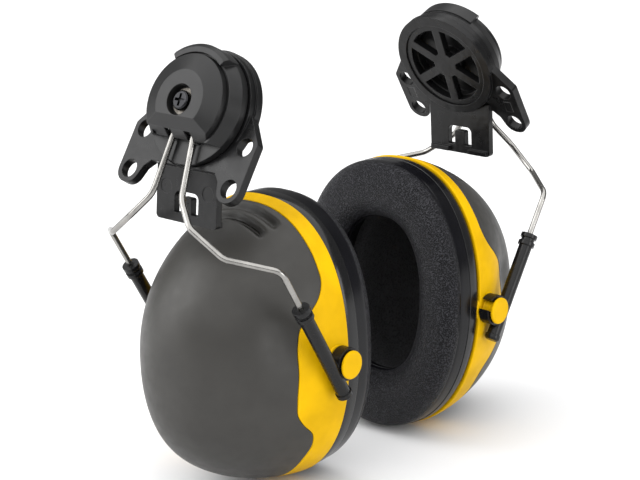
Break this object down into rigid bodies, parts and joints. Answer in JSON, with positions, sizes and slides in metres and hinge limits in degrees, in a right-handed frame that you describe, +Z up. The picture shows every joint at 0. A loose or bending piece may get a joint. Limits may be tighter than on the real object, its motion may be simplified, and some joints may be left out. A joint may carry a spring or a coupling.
{
  "type": "earmuff hearing protector",
  "caption": "Helmet-mounted ear muffs: domed cups with ring cushions, each hung on a bent wire fork from a swivelling knob on a slot-in helmet bracket.",
  "frame": {"origin": "midway between the two knob axes, where they meet the brackets; the helmet is there in use", "axes": "+X towards the right ear's unit, +Y to the rear, +Z up"},
  "size_m": [0.1806, 0.0908, 0.1616],
  "materials": {
    "black_nylon": "satin black",
    "black_acetal": "smooth black",
    "gloss_black": "glossy black",
    "grey_shell": "satin warm dark grey",
    "yellow_shell": "satin yellow",
    "stainless_wire": "bright drawn wire",
    "spring_steel": "drawn steel",
    "zinc_steel": "plated steel",
    "black_steel": "blackened steel",
    "cushion_skin": "black grained plastic film",
    "cushion_foam": "soft foam",
    "liner_foam": "open-cell black foam"
  },
  "bodies": {
    "helmet_brackets": {"right_helmet_bracket": "black_nylon", "left_helmet_bracket": "black_nylon"},
    "right_knob": {"right_hub_disc": "black_nylon", "right_swivel_housing": "black_nylon", "right_knob_cap": "black_nylon", "right_screw_washer": "zinc_steel", "right_cap_screw": "black_steel", "right_arm_springs": "spring_steel"},
    "right_arm": {"right_wire_fork": "stainless_wire", "right_hinge_barrel": "black_nylon"},
    "right_slider": {"right_front_guide_sleeve": "black_acetal", "right_rear_guide_sleeve": "black_acetal"},
    "right_cup": {"right_cup_shell": "grey_shell", "right_pivot_band": "yellow_shell", "right_base_ring": "gloss_black", "right_cushion_plate": "black_acetal", "right_cushion_cover": "cushion_skin", "right_cushion_filling": "cushion_foam", "right_foam_liner": "liner_foam"},
    "left_knob": {"left_hub_disc": "black_nylon", "left_swivel_housing": "black_nylon", "left_knob_cap": "black_nylon", "left_screw_washer": "zinc_steel", "left_cap_screw": "black_steel", "left_arm_springs": "spring_steel"},
    "left_arm": {"left_wire_fork": "stainless_wire", "left_hinge_barrel": "black_nylon"},
    "left_slider": {"left_front_guide_sleeve": "black_acetal", "left_rear_guide_sleeve": "black_acetal"},
    "left_cup": {"left_cup_shell": "grey_shell", "left_pivot_band": "yellow_shell", "left_base_ring": "gloss_black", "left_cushion_plate": "black_acetal", "left_cushion_cover": "cushion_skin", "left_cushion_filling": "cushion_foam", "left_foam_liner": "liner_foam"}
  },
  "joints": [
    {"name": "right_knob_swivel", "type": "hinge", "parent": "helmet_brackets", "child": "right_knob", "pos_m": [0.0676, 0, 0], "axis": [0.9063, 0, 0.4226], "range_deg": [-35, 35]},
    {"name": "right_arm_tilt", "type": "hinge", "parent": "right_knob", "child": "right_arm", "pos_m": [0.07669, 0, -0.00481], "axis": [0, -1, 0], "range_deg": [0, 30], "stiffness_Nm_per_rad": 1.5, "springref_deg": -14.32},
    {"name": "right_height_slide", "type": "slide", "parent": "right_arm", "child": "right_slider", "axis": [-0.5299, 0, -0.848], "range_m": [-0.008, 0.02]},
    {"name": "right_cup_tilt", "type": "hinge", "parent": "right_slider", "child": "right_cup", "pos_m": [0.0426, 0, -0.087], "axis": [0, 1, 0], "range_deg": [-15, 15]},
    {"name": "left_knob_swivel", "type": "hinge", "parent": "helmet_brackets", "child": "left_knob", "pos_m": [-0.0676, 0, 0], "axis": [-0.9063, 0, 0.4226], "range_deg": [-35, 35]},
    {"name": "left_arm_tilt", "type": "hinge", "parent": "left_knob", "child": "left_arm", "pos_m": [-0.07669, 0, -0.00481], "axis": [0, 1, 0], "range_deg": [0, 30], "stiffness_Nm_per_rad": 1.5, "springref_deg": -14.32},
    {"name": "left_height_slide", "type": "slide", "parent": "left_arm", "child": "left_slider", "axis": [0.5299, 0, -0.848], "range_m": [-0.008, 0.02]},
    {"name": "left_cup_tilt", "type": "hinge", "parent": "left_slider", "child": "left_cup", "pos_m": [-0.0426, 0, -0.087], "axis": [0, -1, 0], "range_deg": [-15, 15]}
  ]
}
